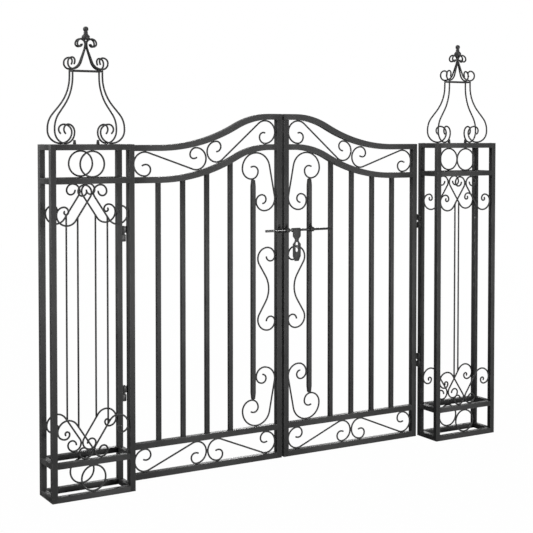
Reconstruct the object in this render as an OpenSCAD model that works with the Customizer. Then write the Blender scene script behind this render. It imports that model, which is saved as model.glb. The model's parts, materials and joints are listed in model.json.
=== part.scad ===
// Double garden gate of wrought iron: two leaves hung between two openwork pillars.
// X runs along the gate, Y away from the street side and Z up. The origin is the middle of the foot of the
// left pillar's outer front post. Lengths are in millimetres.

/* [Overall] */
// Width over both pillars
gate_w = 1220; // [1040:1:1480]
// Height of the pillars to their top rails
pillar_h = 762; // [620:1:930]
// Height of the leaves at the meeting line
crest_h = 833; // [780:1:1000]

/* [Pillars] */
// Width of a pillar
pillar_w = 192; // [170:1:240]
// Depth of a pillar
pillar_d = 80; // [74:1:110]
// Side of the square tube of the posts and rails
post = 12.5; // [10:0.5:16]
// Clear height of the two bands that hold rings
ring_band = 59.5; // [50:0.5:72]
// Height of the large lobe's centre from the rail that a face scroll springs from
lobe_drop = 65; // [58:0.5:78]
// Radius of the small lobe of a face scroll
hook_r = 16.5; // [13:0.5:19]
// Radius of the large lobe of a face scroll
lobe_r = 23.5; // [19:0.5:27]
// Distance of the fine uprights from the middle of a pillar
upright_x = 34; // [28:0.5:40]
// Diameter of the fixing holes in the bottom rails
foot_hole = 6.5; // [4:0.5:8]
// Distance of the fixing holes from the pillar's sides
foot_hole_inset = 40; // [25:1:60]

/* [Crowns] */
// Radius at which a crown rod stands on its bearer
crown_foot_r = 55; // [48:0.5:62]
// Angle between a crown rod and the plane of the gate
crown_angle = 15.4; // [10:0.1:20]
// Length of the straight slope of a crown rod
crown_slope = 22.4; // [18:0.1:28]
// Thickness of the bearer plates under a crown
bearer_t = 3; // [2:0.5:5]
// Width of a bearer plate
bearer_w = 42; // [40:1:46]
// Width of the lug that stands on each bearer
bearer_lug = 5; // [4:0.5:6]
// Height of the finial
finial_h = 29; // [24:0.5:36]

/* [Leaves] */
// Side of the square tube of a leaf's frame
frame = 14; // [12:0.5:16]
// Side of the square infill bars
bar = 10; // [8:0.5:12]
// Number of bays between a leaf's stiles
bays = 6; // [5:1:7]
// Height of the leaves above the foot of the pillars
lift = 2; // [2:1:20]
// Gap between a pillar and its leaf
side_gap = 14; // [13.5:0.5:18]
// Gap between the two leaves
meeting_gap = 6; // [5:0.5:10]
// Rise of the top rail from the hinge side to the crest
rise = 73; // [55:1:90]
// Level run of the top rail beside the hinge stile
low_run = 79; // [60:1:95]
// Level run of the top rail at the crest
crest_run = 33; // [26:1:40]
// Share of the curved run that bends upwards
sweep_share = 0.685; // [0.55:0.005:0.75]
// Clear height between the two swept rails
sweep_gap = 58.5; // [52:0.5:70]
// Clear height between the two bottom rails
base_gap = 55; // [46:1:66]

/* [Scrollwork] */
// Diameter of the round rod that is bent into scrolls
rod = 4; // [3:0.5:5]
// Height of the beads over the rod where its bends join
bead = 0.03; // [0.02:0.01:0.1]
// Length of those beads
bead_l = 0.4; // [0.2:0.1:1]
// Gap left between a scroll and what it is welded to
seat = 0.15; // [0.1:0.05:0.3]

/* [Hinges] */
// Height of each hinge from the nearest end of the pillar
hinge_inset = 201; // [150:1:230]
// Height of one hinge barrel
barrel_h = 15.5; // [12:0.5:20]
// Diameter of a hinge barrel
barrel_d = 12; // [11:0.5:12.5]
// Gap between the two barrels of a hinge
barrel_gap = 4; // [3:0.5:6]
// Diameter of the hinge pin
pin_d = 6; // [5:0.5:7]
// Radial running clearance of pins and rods
running = 0.05; // [0.03:0.01:0.09]

/* [Latch] */
// Height of the latch rod
latch_z = 553; // [420:1:585]
// Diameter of the latch rod
latch_d = 6; // [5:0.5:8]
// Length of the latch rod
latch_l = 188; // [178:1:200]
// Length of the rod past the left leaf's meeting stile
latch_throw = 34; // [26:1:40]
// Thickness of the guides that carry the rod
guide_t = 3; // [2:0.5:4]
// Length of the sleeve on each guide
sleeve_l = 10; // [6:0.5:12]
// Width of the hasp's slot
slot_w = 7; // [6:0.5:9]
// Length of the hasp's slot
slot_l = 24; // [18:0.5:28]
// Middle of the slot below the rod
slot_drop = 41; // [38:0.5:46]
// Width of the hanging hasp
hasp_w = 22; // [18:0.5:26]
// Length of the hasp below the rod
hasp_l = 75; // [66:1:84]
// Thickness of the hasp
hasp_t = 2; // [1.5:0.5:3]

/* [Hidden] */
$fn = 32;
iron = [0.22, 0.22, 0.23];
rail_z = [0, post + ring_band, pillar_h - 2 * post - ring_band, pillar_h - post];
face_y = [post / 2, pillar_d - post / 2];
rod_r = rod / 2;
// Leaf frame, in the coordinates of the left leaf
leaf_x0 = pillar_w + side_gap;
leaf_x1 = gate_w / 2 - meeting_gap / 2;
inner_x0 = leaf_x0 + frame;
inner_x1 = leaf_x1 - frame;
leaf_y0 = pillar_d - frame;
leaf_y = pillar_d - frame / 2;
pitch = (inner_x1 - inner_x0) / bays;
base_top = lift + 2 * frame + base_gap;
// Swept rails: two arcs that meet in a tangent, drawn along the middle of the tube
sweep_x0 = leaf_x0 + low_run;
sweep_x1 = leaf_x1 - crest_run;
sweep_angle = 2 * atan(rise / (sweep_x1 - sweep_x0));
sweep_r = rise / (1 - cos(sweep_angle));
sweep_r1 = sweep_r * sweep_share;
sweep_r2 = sweep_r - sweep_r1;
low_z = crest_h - rise - frame / 2;
sweep_step = sweep_gap + frame;
// Hinges
hinge_x = pillar_w + side_gap / 2;
hinge_z = [hinge_inset, pillar_h - hinge_inset];
// Latch
latch_y = leaf_y0 - 1 - latch_d / 2;
latch_x0 = inner_x1 - latch_throw;
spear_x = inner_x0 + (bays - 1) * pitch;
mirrored_spear_x = gate_w - spear_x;
hasp_x = gate_w - inner_x1 + 17;

// ---- Bent rods -------------------------------------------------------------
// A run is drawn from a state [x, y, heading] by segments. [length, 0] goes straight, and
// [radius, angle] bends, to the left where the angle is positive.
function after(s, g) = g[1] == 0
    ? [s[0] + g[0] * cos(s[2]), s[1] + g[0] * sin(s[2]), s[2]]
    : let (r = g[0] * sign(g[1]), h = s[2] + g[1])
        [s[0] + r * (sin(h) - sin(s[2])), s[1] + r * (cos(s[2]) - cos(h)), h];
function states(s0, run) = [for (i = 0, s = s0; i <= len(run); s = i < len(run) ? after(s, run[i]) : s, i = i + 1) s];
function end_of(s0, run) = states(s0, run)[len(run)];

// Sweeps the flat section that is its child along a run in the XY plane
module swept(s0, run) {
    at = states(s0, run);
    for (i = [0 : len(run) - 1]) {
        s = at[i];
        g = run[i];
        if (g[1] == 0) {
            translate([s[0], s[1], 0]) rotate(s[2]) rotate([90, 0, 90])
                linear_extrude(g[0]) children();
        } else {
            side = sign(g[1]);
            translate([s[0] - side * g[0] * sin(s[2]), s[1] + side * g[0] * cos(s[2]), 0])
                rotate(side > 0 ? s[2] - 90 : s[2] + 90 + g[1])
                    rotate_extrude(angle = abs(g[1])) translate([g[0], 0]) children();
        }
    }
}

// A round rod bent along a run. A weld bead, a hair thicker than the rod, closes each joint.
module bent_rod(s0, run) {
    swept(s0, run) circle(rod_r);
    at = states(s0, run);
    for (i = [1 : len(run) - 1])
        translate([at[i][0], at[i][1], 0]) rotate([0, 90, at[i][2]])
            cylinder(h = bead_l, r = rod_r + bead, center = true);
}

// The same run from its far end, as [state, run]
function reversed(s0, run) =
    let (last = end_of(s0, run))
    [[last[0], last[1], last[2] + 180], [for (i = [len(run) - 1 : -1 : 0]) [run[i][0], -run[i][1]]]];

// Stands a drawing in the XY plane upright, with its Y along Z, in the plane y
module upright(y) translate([0, y, 0]) rotate([90, 0, 0]) children();

// The angle to turn from one heading to another, to the left or to the right
function turn(from, to, side) = side * ((side * (to - from) % 360 + 360) % 360);

// A lobe is [centre, radius, side, heading, curl]. The rod leaves its straight back on to the circle,
// follows it until it has the heading, and then curls in by quarter turns at shares of the radius. A last
// [share, angle] is a shorter turn.
// Side is 1 where the centre lies left of the back, seen from the first lobe to the second.
function lobe_run(from, lobe, side) =
    concat([[lobe[1], turn(from, lobe[3], side)]],
        [for (c = lobe[4]) is_list(c) ? [c[0] * lobe[1], side * c[1]] : [c * lobe[1], side * 90]]);

module scroll(a, b) {
    v = b[0] - a[0];
    back = atan2(v.y, v.x) - asin((b[2] * b[1] - a[2] * a[1]) / norm(v));
    n = [-sin(back), cos(back)];
    pa = a[0] - a[2] * a[1] * n;
    pb = b[0] - b[2] * b[1] * n;
    start = reversed([pa.x, pa.y, back + 180], lobe_run(back + 180, a, -a[2]));
    bent_rod(start[0], concat(start[1], [[norm(pb - pa), 0]], lobe_run(back, b, b[2])));
}

// ---- Pillars ---------------------------------------------------------------
module at_pillar(right) translate([right ? gate_w - pillar_w : 0, 0, 0]) children();

module posts() color(iron)
    for (x = [0, pillar_w - post], y = [0, pillar_d - post])
        translate([x, y, 0]) cube([post, post, pillar_h]);

module face_rails() color(iron)
    for (y = [0, pillar_d - post], z = rail_z)
        difference() {
            translate([post, y, z]) cube([pillar_w - 2 * post, post, post]);
            if (z == 0)
                for (x = [foot_hole_inset, pillar_w - foot_hole_inset])
                    translate([x, y + post / 2, -1]) cylinder(h = post + 2, d = foot_hole);
        }

module side_rails() color(iron)
    for (x = [0, pillar_w - post], z = rail_z)
        translate([x, post, z]) cube([post, pillar_d - 2 * post, post]);

module rings() color(iron)
    for (y = face_y, z = [rail_z[0], rail_z[2]])
        translate([pillar_w / 2, y, z + post + ring_band / 2]) rotate([90, 0, 0])
            rotate_extrude() translate([ring_band / 2 - seat - rod_r, 0]) circle(rod_r);

// One scroll under the second rail, right of the middle of the pillar, with x from the middle
module face_scroll() {
    top = rail_z[2] - seat;
    hook = [[rod_r + seat + hook_r, top - rod_r - hook_r], hook_r, 1, 180, []];
    side = pillar_w / 2 - post - seat - rod_r;
    lobe = [[side - lobe_r, rail_z[2] - lobe_drop], lobe_r, 1, 90, [0.7, 0.44, 0.24, 0.18, [0.16, 60]]];
    scroll([hook[0], hook_r, 1, 0, [0.85, 0.58, [0.6, 95]]], lobe);
}

// Half of a face: two mirrored scrolls with a fine upright between their backs
module face_half() {
    mid = pillar_h / 2;
    face_scroll();
    translate([0, mid]) mirror([0, 1]) translate([0, -mid]) face_scroll();
    translate([upright_x, mid - upright_l / 2]) rotate([-90, 0, 0])
        cylinder(h = upright_l, r = rod_r);
}

module face_scrolls(y) color(iron)
    translate([pillar_w / 2, 0, 0]) upright(y)
        for (m = [0, 1]) mirror([m, 0]) face_half();

// ---- Crowns ----------------------------------------------------------------
crown_seat = [crown_foot_r, pillar_h + seat + rod_r];
crown_up = [[28, 90], [4, 0], [50, 39], [crown_slope, 0], [100, -39], [14, 0]];
crown_curl = [[24, -90], [17, -90], [11, -90], [11, -58]];
neck = end_of([crown_seat.x, crown_seat.y, 0], crown_up);
// The four upper rods close up to a waist. Each lies in the plane from there to its neck.
neck_at = neck[0] * [cos(crown_angle), sin(crown_angle)];
waist_at = (rod_r + seat / 2) * [1, 1];
top_seat = [norm(neck_at - waist_at), neck[1] + seat + rod_r];
top_turn = 70;
top_slope = (top_seat.x - 23.5 * sin(top_turn) - 40 * (1 - sin(top_turn))) / cos(top_turn);
top_in = [
    [23.5, -top_turn], [top_slope, 0], [40, top_turn - 90],
    [10.5, -90], [10.5, -90], [6, -90], [6.5, -85],
];
top_out = [[12, 90], [1.5, 0], [11, 90], [7, 90], [14, 34]];
// The finial's foot rests on the four rods where they turn over
tip_foot = 7;
tip_r = top_in[3][0];
tip_at = states([top_seat.x, top_seat.y, 180], top_in)[4];
tip_z = tip_at[1] - tip_r
    + sqrt(pow(tip_r + rod_r, 2) - pow(tip_at[0] + norm(waist_at) - tip_foot, 2));

module around_crown()
    translate([pillar_w / 2, pillar_d / 2, 0])
        for (a = [-crown_angle, crown_angle, 180 - crown_angle, 180 + crown_angle])
            rotate(a) rotate([90, 0, 0]) children();

module crown_bearers() color(iron)
    translate([pillar_w / 2, pillar_d / 2, pillar_h - bearer_t])
        for (m = [0, 1]) mirror([m, 0, 0]) {
            translate([crown_foot_r + 7 - bearer_w, post - pillar_d / 2, 0])
                cube([bearer_w, pillar_d - 2 * post, bearer_t]);
            translate([crown_foot_r - 28, bearer_lug / 2, 0]) rotate([90, 0, 0])
                linear_extrude(bearer_lug) polygon([
                    [-0.7 * bearer_lug, 0], [0.7 * bearer_lug, 0],
                    [0.4 * bearer_lug, bearer_t + 9.5], [-0.4 * bearer_lug, bearer_t + 9.5],
                ]);
        }

module crown_rods() color(iron) {
    around_crown() {
        start = reversed([crown_seat.x, crown_seat.y, 180], crown_curl);
        bent_rod(start[0], concat(start[1], crown_up));
    }
    crown_collar();
}

// Four straight rods between the necks of the crown's rods
module crown_collar()
    translate([pillar_w / 2, pillar_d / 2, neck[1] - rod_r]) {
        nx = neck[0] * cos(crown_angle);
        ny = neck[0] * sin(crown_angle);
        clear = rod_r + seat;
        for (s = [-1, 1]) {
            translate([clear - nx, s * ny, 0]) rotate([0, 90, 0])
                cylinder(h = 2 * (nx - clear), r = rod_r);
            translate([s * nx, clear - ny, 0]) rotate([-90, 0, 0])
                cylinder(h = 2 * (ny - clear), r = rod_r);
        }
    }

module crown_top() color(iron)
    translate([pillar_w / 2, pillar_d / 2, 0]) for (m = [0, 1], n = [0, 1])
        mirror([m, 0, 0]) mirror([0, n, 0]) translate(waist_at)
            rotate(atan2(neck_at.y - waist_at.y, neck_at.x - waist_at.x)) rotate([90, 0, 0]) {
        start = reversed([top_seat.x, top_seat.y, 0], top_out);
        bent_rod(start[0], concat(start[1], top_in));
    }

module finial() color(iron)
    translate([pillar_w / 2, pillar_d / 2, tip_z + seat]) {
        ball = 6;
        rotate_extrude() polygon([
            [0, 0], [tip_foot, 0], [9, 3], [9, 7], [6, 11], [4.7, 12.5], [4.7, finial_h - 2 * ball],
            [0, finial_h - ball],
        ]);
        translate([0, 0, finial_h - ball]) sphere(ball);
    }

// ---- Hinges ----------------------------------------------------------------
// A barrel in the gap between pillar and leaf, on the axis at y, with a lug of side gap / 2 to one side.
// The lug lies on the same side of the axis as the leaf.
module barrel(y, z, to_leaf) {
    translate([hinge_x, y, z]) cylinder(h = barrel_h, d = barrel_d);
    translate([to_leaf ? hinge_x : pillar_w, y == leaf_y0 ? y : y - barrel_d / 2, z])
        cube([side_gap / 2, barrel_d / 2, barrel_h]);
}

// Lower barrels with their pins, on the pillar's back post
module hinge_pins(y) color(iron)
    for (z = hinge_z) {
        barrel(y, z - barrel_gap / 2 - barrel_h, false);
        translate([hinge_x, y, z - barrel_gap / 2 - 1]) {
            cylinder(h = barrel_gap + 1 - seat, d = pin_d + 2);
            cylinder(h = barrel_gap + barrel_h, d = pin_d);
        }
    }

// Upper barrels on the leaf's hinge stile
module knuckles(y) color(iron)
    for (z = hinge_z)
        difference() {
            barrel(y, z + barrel_gap / 2, true);
            translate([hinge_x, y, z]) cylinder(h = barrel_h + barrel_gap, d = pin_d + 2 * running);
        }

// ---- Leaves ----------------------------------------------------------------
// Height of a swept rail's middle line, or of a line d below it, at x. The rail's level runs lie at low_z
// and at low_z + rise.
function sweep_height(x, d = 0) =
    let (r1 = sweep_r1 + d, r2 = sweep_r2 - d, x_mid = sweep_x0 + r1 * sin(sweep_angle))
    x <= sweep_x0 ? low_z - d
    : x <= x_mid ? low_z - d + r1 - sqrt(r1 * r1 - pow(x - sweep_x0, 2))
    : x <= sweep_x1 ? low_z + rise - d - r2 + sqrt(r2 * r2 - pow(sweep_x1 - x, 2))
    : low_z + rise - d;
function sweep_slope(x) = atan(sweep_height(x + 0.5) - sweep_height(x - 0.5));

// A tube that follows the sweep, with its middle line a drop below the top rail's
module swept_rail(x0, x1, drop) {
    steps = 24;
    bend = [for (i = [0 : steps]) sweep_x0 + (sweep_x1 - sweep_x0) * i / steps];
    xs = concat([x0], bend, [x1]);
    translate([0, 0, -frame / 2]) linear_extrude(frame) polygon(concat(
        [for (x = xs) [x, sweep_height(x, frame / 2) - drop]],
        [for (i = [len(xs) - 1 : -1 : 0]) [xs[i], sweep_height(xs[i], -frame / 2) - drop]]));
}

module leaf_swept_rails() color(iron)
    upright(leaf_y) {
        swept_rail(leaf_x0, leaf_x1, 0);
        swept_rail(inner_x0, inner_x1, sweep_step);
    }

module leaf_stiles() color(iron) {
    translate([leaf_x0, leaf_y0, lift]) cube([frame, frame, low_z - frame / 2 - lift]);
    translate([inner_x1, leaf_y0, lift]) cube([frame, frame, low_z + rise - frame / 2 - lift]);
}

module leaf_bottom_rails() color(iron)
    for (z = [lift, base_top - frame])
        translate([inner_x0, leaf_y0, z]) cube([inner_x1 - inner_x0, frame, frame]);

// A bar with its head cut to the slope of the lower swept rail
module leaf_bars() color(iron)
    upright(leaf_y) translate([0, 0, -bar / 2]) linear_extrude(bar)
        for (i = [1 : bays - 2]) {
            x0 = inner_x0 + i * pitch - bar / 2;
            x1 = x0 + bar;
            polygon([
                [x0, base_top], [x1, base_top],
                [x1, sweep_height(x1, frame / 2 + seat) - sweep_step],
                [x0, sweep_height(x0, frame / 2 + seat) - sweep_step],
            ]);
        }

// The scrolls beside the meeting stile lie mirrored about the height side_mid
side_top = low_z + rise - sweep_step - frame / 2;
big_r = 37.5;
big_x = spear_x + 8.5;
low_r = 29;
// The large lobe touches the lower swept rail from below,
big_drop = sweep_r2 - frame / 2
    - sqrt(pow(sweep_r2 - frame / 2 - seat - rod_r - big_r, 2) - pow(sweep_x1 - big_x, 2));
// and its mirrored twin the upper bottom rail from above
side_mid = (side_top - big_drop + base_top + seat + rod_r + big_r) / 2;
big_lobe = [[big_x, side_top - big_drop], big_r, -1, 270, [0.66, 0.48, 0.32, [0.42, 30]]];
low_lobe = [[inner_x1 - seat - rod_r - low_r, side_mid + 217], low_r, -1, 180, [0.77, 0.55, 0.38, 0.34]];
tip_reach = big_lobe[0].y - big_lobe[4][0] * big_r - rod_r - seat;

module leaf_spear_bar() color(iron) {
    taper = 15;
    tip = 3.8;
    half = tip_reach - side_mid;
    slope = atan((bar / 2 - tip) / taper);
    translate([spear_x, leaf_y, side_mid]) difference() {
        translate([-bar / 2, -bar / 2, -half]) cube([bar, bar, 2 * half]);
        // Four sloping cuts at each end
        for (m = [0, 1], a = [0 : 90 : 270]) mirror([0, 0, m]) rotate(a)
            translate([-bar, bar / 2, half - taper]) rotate([slope, 0, 0])
                cube([2 * bar, bar, 2 * taper]);
    }
}

// The double scroll between the two large ones, as its upper half
module middle_scroll_half() {
    r = 26;
    waist = 60;
    top = [[inner_x1 - seat - rod_r - 0.8 * r, side_mid + 73.5], r, 1, 0, [0.8, 0.46, 0.44]];
    scroll(top, [[inner_x1 - 19 - waist, side_mid], waist, -1, -90, []]);
}

module leaf_side_scrolls() color(iron)
    upright(leaf_y) translate([0, side_mid]) for (m = [0, 1]) mirror([0, m]) translate([0, -side_mid]) {
        scroll(big_lobe, low_lobe);
        middle_scroll_half();
    }

// A lobe that fills the band between the swept rails at x
function band_r(x) = sweep_step / 2 * cos(sweep_slope(x)) - frame / 2 - rod_r - (sweep_slope(x) > 2 ? 0.8 : seat);
function band_lobe(x, r, side, heading, curl) =
    [[x, sweep_height(x) - sweep_step / 2], r, side, heading, curl];

module leaf_arch_scrolls() color(iron) {
    r_low = band_r(leaf_x0);
    x_low = inner_x0 + seat + rod_r + r_low;
    x_high = inner_x1 - seat - rod_r - r_low;
    // The two scrolls touch over the middle of the leaf
    x_touch = (inner_x0 + inner_x1) / 2;
    x_left = x_touch - 27;
    x_right = x_touch + 25.6;
    upright(leaf_y) {
        scroll(
            band_lobe(x_low, r_low, -1, 0, [0.53, 0.43, [0.6, 36]]),
            band_lobe(x_left, band_r(x_left), 1, 180, [0.62, 0.36, [0.6, 35]]));
        scroll(
            band_lobe(x_right, band_r(x_right), 1, 0, [0.5, 0.5]),
            band_lobe(x_high, r_low, -1, 180, [0.56, 0.4, [0.3, 35]]));
    }
}

module leaf_base_scrolls() color(iron) {
    r = base_gap / 2 - rod_r - seat;
    z = lift + frame + base_gap / 2;
    x_mid = (inner_x0 + inner_x1) / 2;
    x_end = x_mid - inner_x0 - seat - rod_r - r;
    x_in = seat + rod_r + r;
    upright(leaf_y) translate([x_mid, z]) for (m = [0, 1]) mirror([m, 0])
        scroll(
            [[-x_end, 0], r, 1, 0, [0.57, 0.43, [0.6, 30]]],
            [[-x_in, 0], r, -1, 180, [0.54, 0.44, [0.6, 30]]]);
}

module right_leaf() translate([gate_w, 0, 0]) mirror([1, 0, 0]) children();

// ---- Latch -----------------------------------------------------------------
// A guide plate on the face y of a bar, with the middle of its sleeve at x. The rod runs through the
// sleeve, or lies in it where the sleeve is open to the front.
module guide(x, y, slot = false) {
    nose = 5.5;
    high = 16;
    run = y - latch_y;
    reach = norm([run, high]);
    lean = atan2(high, run) + acos(nose / reach);
    translate([x, 0, 0]) rotate([90, 0, 90]) difference() {
        union() {
            linear_extrude(guide_t, center = true) polygon([
                [latch_y, latch_z - nose], [y, latch_z - nose], [y, latch_z + high],
                [latch_y + nose * cos(lean), latch_z + nose * sin(lean)], [latch_y, latch_z],
            ]);
            translate([latch_y, latch_z, 0]) cylinder(h = sleeve_l, r = nose, center = true);
        }
        translate([latch_y, latch_z, 0])
            cylinder(h = sleeve_l + 2, d = latch_d + 2 * running, center = true);
        translate([y, latch_z - 2 * nose, -sleeve_l]) cube([nose, 4 * nose, 2 * sleeve_l]);
        if (slot) translate([latch_y - 2 * nose, latch_z - latch_d / 2 - running, -sleeve_l])
            cube([2 * nose, latch_d + 2 * running, 2 * sleeve_l]);
    }
}

module latch_keeper() color(iron) guide(inner_x1 + frame / 2, leaf_y0, true);

module latch_guides() color(iron) {
    guide(gate_w - leaf_x1 + frame / 2, leaf_y0);
    guide(mirrored_spear_x, leaf_y - bar / 2);
}

module latch_rod() color(iron)
    translate([latch_x0, latch_y, latch_z]) rotate([0, 90, 0]) cylinder(h = latch_l, d = latch_d);

// A hasp that hangs from the rod by a rolled knuckle, with a slot for a padlock
module latch_hasp() color(iron) {
    half = hasp_w / 2;
    neck_half = half / 2;
    knuckle_r = latch_d / 2 + hasp_t;
    translate([hasp_x, latch_y, latch_z]) difference() {
        union() {
            translate([-half, 0, 0]) rotate([0, 90, 0]) cylinder(h = hasp_w, r = knuckle_r);
            translate([0, -knuckle_r + hasp_t, 0]) rotate([90, 0, 0]) linear_extrude(hasp_t) polygon([
                [-half, 0], [half, 0], [half, -15], [neck_half, -22], [neck_half, -27], [half, -34],
                [half, 12 - hasp_l], [neck_half, -hasp_l], [-neck_half, -hasp_l],
                [-half, 12 - hasp_l], [-half, -34], [-neck_half, -27], [-neck_half, -22], [-half, -15],
            ]);
        }
        translate([-half - 1, 0, 0]) rotate([0, 90, 0])
            cylinder(h = hasp_w + 2, d = latch_d + 2 * running);
        for (s = [-1, 1])
            translate([0, 0, s * (slot_l - slot_w) / 2 - slot_drop]) rotate([90, 0, 0])
                cylinder(h = 3 * knuckle_r, d = slot_w, center = true);
        translate([-slot_w / 2, -2 * knuckle_r, (slot_w - slot_l) / 2 - slot_drop])
            cube([slot_w, 2 * knuckle_r - 1, slot_l - slot_w]);
    }
}

// ---- Assembly --------------------------------------------------------------
// The fine uprights end on the straight backs of the face scrolls
hook_c = [rod_r + seat + hook_r, rail_z[2] - seat - rod_r - hook_r];
lobe_c = [pillar_w / 2 - post - seat - rod_r - lobe_r, rail_z[2] - lobe_drop];
back_angle = atan2(lobe_c.y - hook_c.y, lobe_c.x - hook_c.x)
    - asin((lobe_r - hook_r) / norm(lobe_c - hook_c));
back_p = hook_c - hook_r * [-sin(back_angle), cos(back_angle)];
upright_l = 2 * (back_p.y + (upright_x - back_p.x) * tan(back_angle) - pillar_h / 2);

translate([-post / 2, -post / 2, 0]) {
    at_pillar(false) posts();  // left_posts
    at_pillar(false) face_rails();  // left_face_rails
    at_pillar(false) side_rails();  // left_side_rails
    at_pillar(false) rings();  // left_rings
    at_pillar(false) face_scrolls(face_y[0]);  // left_front_scrolls
    at_pillar(false) face_scrolls(face_y[1]);  // left_back_scrolls
    at_pillar(false) crown_bearers();  // left_crown_bearers
    at_pillar(false) crown_rods();  // left_crown_rods
    at_pillar(false) crown_top();  // left_crown_top
    at_pillar(false) finial();  // left_finial
    hinge_pins(pillar_d);  // left_hinge_pins
    at_pillar(true) posts();  // right_posts
    at_pillar(true) face_rails();  // right_face_rails
    at_pillar(true) side_rails();  // right_side_rails
    at_pillar(true) rings();  // right_rings
    at_pillar(true) face_scrolls(face_y[0]);  // right_front_scrolls
    at_pillar(true) face_scrolls(face_y[1]);  // right_back_scrolls
    at_pillar(true) crown_bearers();  // right_crown_bearers
    at_pillar(true) crown_rods();  // right_crown_rods
    at_pillar(true) crown_top();  // right_crown_top
    at_pillar(true) finial();  // right_finial
    right_leaf() hinge_pins(leaf_y0);  // right_hinge_pins
    leaf_stiles();  // left_leaf_stiles
    leaf_swept_rails();  // left_leaf_swept_rails
    leaf_bottom_rails();  // left_leaf_bottom_rails
    leaf_bars();  // left_leaf_bars
    leaf_spear_bar();  // left_leaf_spear_bar
    leaf_arch_scrolls();  // left_leaf_arch_scrolls
    leaf_base_scrolls();  // left_leaf_base_scrolls
    leaf_side_scrolls();  // left_leaf_side_scrolls
    knuckles(pillar_d);  // left_leaf_knuckles
    right_leaf() leaf_stiles();  // right_leaf_stiles
    right_leaf() leaf_swept_rails();  // right_leaf_swept_rails
    right_leaf() leaf_bottom_rails();  // right_leaf_bottom_rails
    right_leaf() leaf_bars();  // right_leaf_bars
    right_leaf() leaf_spear_bar();  // right_leaf_spear_bar
    right_leaf() leaf_arch_scrolls();  // right_leaf_arch_scrolls
    right_leaf() leaf_base_scrolls();  // right_leaf_base_scrolls
    right_leaf() leaf_side_scrolls();  // right_leaf_side_scrolls
    right_leaf() knuckles(leaf_y0);  // right_leaf_knuckles
    latch_keeper();
    latch_guides();
    latch_rod();
    latch_hasp();
}
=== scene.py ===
import json
import math

import bmesh
import bpy
import numpy as np
from mathutils import Euler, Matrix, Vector


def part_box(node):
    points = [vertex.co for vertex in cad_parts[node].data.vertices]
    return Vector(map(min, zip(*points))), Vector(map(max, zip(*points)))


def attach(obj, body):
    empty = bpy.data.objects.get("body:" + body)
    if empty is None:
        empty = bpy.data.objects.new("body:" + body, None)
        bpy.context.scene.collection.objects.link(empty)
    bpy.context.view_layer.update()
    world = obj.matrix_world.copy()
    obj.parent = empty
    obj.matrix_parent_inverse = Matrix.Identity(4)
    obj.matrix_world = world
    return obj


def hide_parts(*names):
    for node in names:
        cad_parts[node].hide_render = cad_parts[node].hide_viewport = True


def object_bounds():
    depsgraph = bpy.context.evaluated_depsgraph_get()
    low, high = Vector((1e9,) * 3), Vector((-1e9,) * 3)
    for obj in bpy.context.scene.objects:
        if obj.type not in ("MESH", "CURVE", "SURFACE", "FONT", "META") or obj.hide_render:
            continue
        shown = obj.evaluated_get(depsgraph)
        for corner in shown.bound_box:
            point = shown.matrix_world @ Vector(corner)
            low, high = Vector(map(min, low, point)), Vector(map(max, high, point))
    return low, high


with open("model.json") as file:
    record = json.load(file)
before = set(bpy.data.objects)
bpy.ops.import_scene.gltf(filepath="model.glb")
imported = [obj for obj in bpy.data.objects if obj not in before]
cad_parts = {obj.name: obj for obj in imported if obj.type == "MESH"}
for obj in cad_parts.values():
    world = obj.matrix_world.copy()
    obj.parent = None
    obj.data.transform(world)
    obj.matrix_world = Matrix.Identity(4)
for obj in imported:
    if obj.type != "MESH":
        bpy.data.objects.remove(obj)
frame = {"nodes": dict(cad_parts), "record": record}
cadBox = [list(corner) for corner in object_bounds()]
print("frame loaded:", len(frame["nodes"]), "nodes")

mm = 0.001
gateCorner = np.array(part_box("left_posts")[0])  # outer front corner of the left pillar's foot
gateWidth = (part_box("right_posts")[1][0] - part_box("left_posts")[0][0]) / mm

# Sizes that the looks share with the model, in millimetres, measured from the gate's corner
pillar = {
    "width": 192.0, "depth": 80.0, "height": 762.0, "tube": 12.5, "band": 59.5,
    "lobeDrop": 65.0, "hookRadius": 16.5, "lobeRadius": 23.5, "fineBar": 34.0,
    "cornerRadius": 0.6,
}
# A run lists rows of [size, angle]: a bend's radius and its degrees, or a straight's length and 0
crown = {
    "footRadius": 55.0, "angle": 15.4,
    "up": [[28, 90], [4, 0], [50, 39], [22.4, 0], [100, -39], [14, 0]],
    "curl": [[24, -90], [17, -90], [11, -90], [11, -58]],
    "topTurn": 70.0, "topBend": 23.5, "waistBend": 40.0, "waist": 1.4,
    "topCurl": [[10.5, -90], [10.5, -90], [6, -90], [6.5, -85]],
    "topOut": [[12, 90], [1.5, 0], [11, 90], [7, 90], [14, 34]],
}
leaf = {
    "sideGap": 14.0, "meetingGap": 6.0, "crest": 833.0, "tube": 14.0, "bar": 10.0, "bays": 6,
    "lift": 2.0, "rise": 73.0, "lowRun": 79.0, "crestRun": 33.0, "sweepShare": 0.685,
    "sweepGap": 58.5, "baseGap": 55.0, "headGap": 0.1, "cornerRadius": 0.6,
}
rodwork = {"radius": 2.0, "seat": 0.15, "sides": 16, "bendStep": 6.0, "tip": 0.5}
leafRods = {
    "bigRadius": 37.5, "smallRadius": 29.0, "middleRadius": 26.0, "waistRadius": 60.0,
    "bigShift": 8.5, "smallRise": 217.0, "middleRise": 73.5, "waistInset": 19.0,
    "archLow": 27.0, "archHigh": 25.6, "levelSlope": 2.0, "slopeSeat": 0.8,
}
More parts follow.
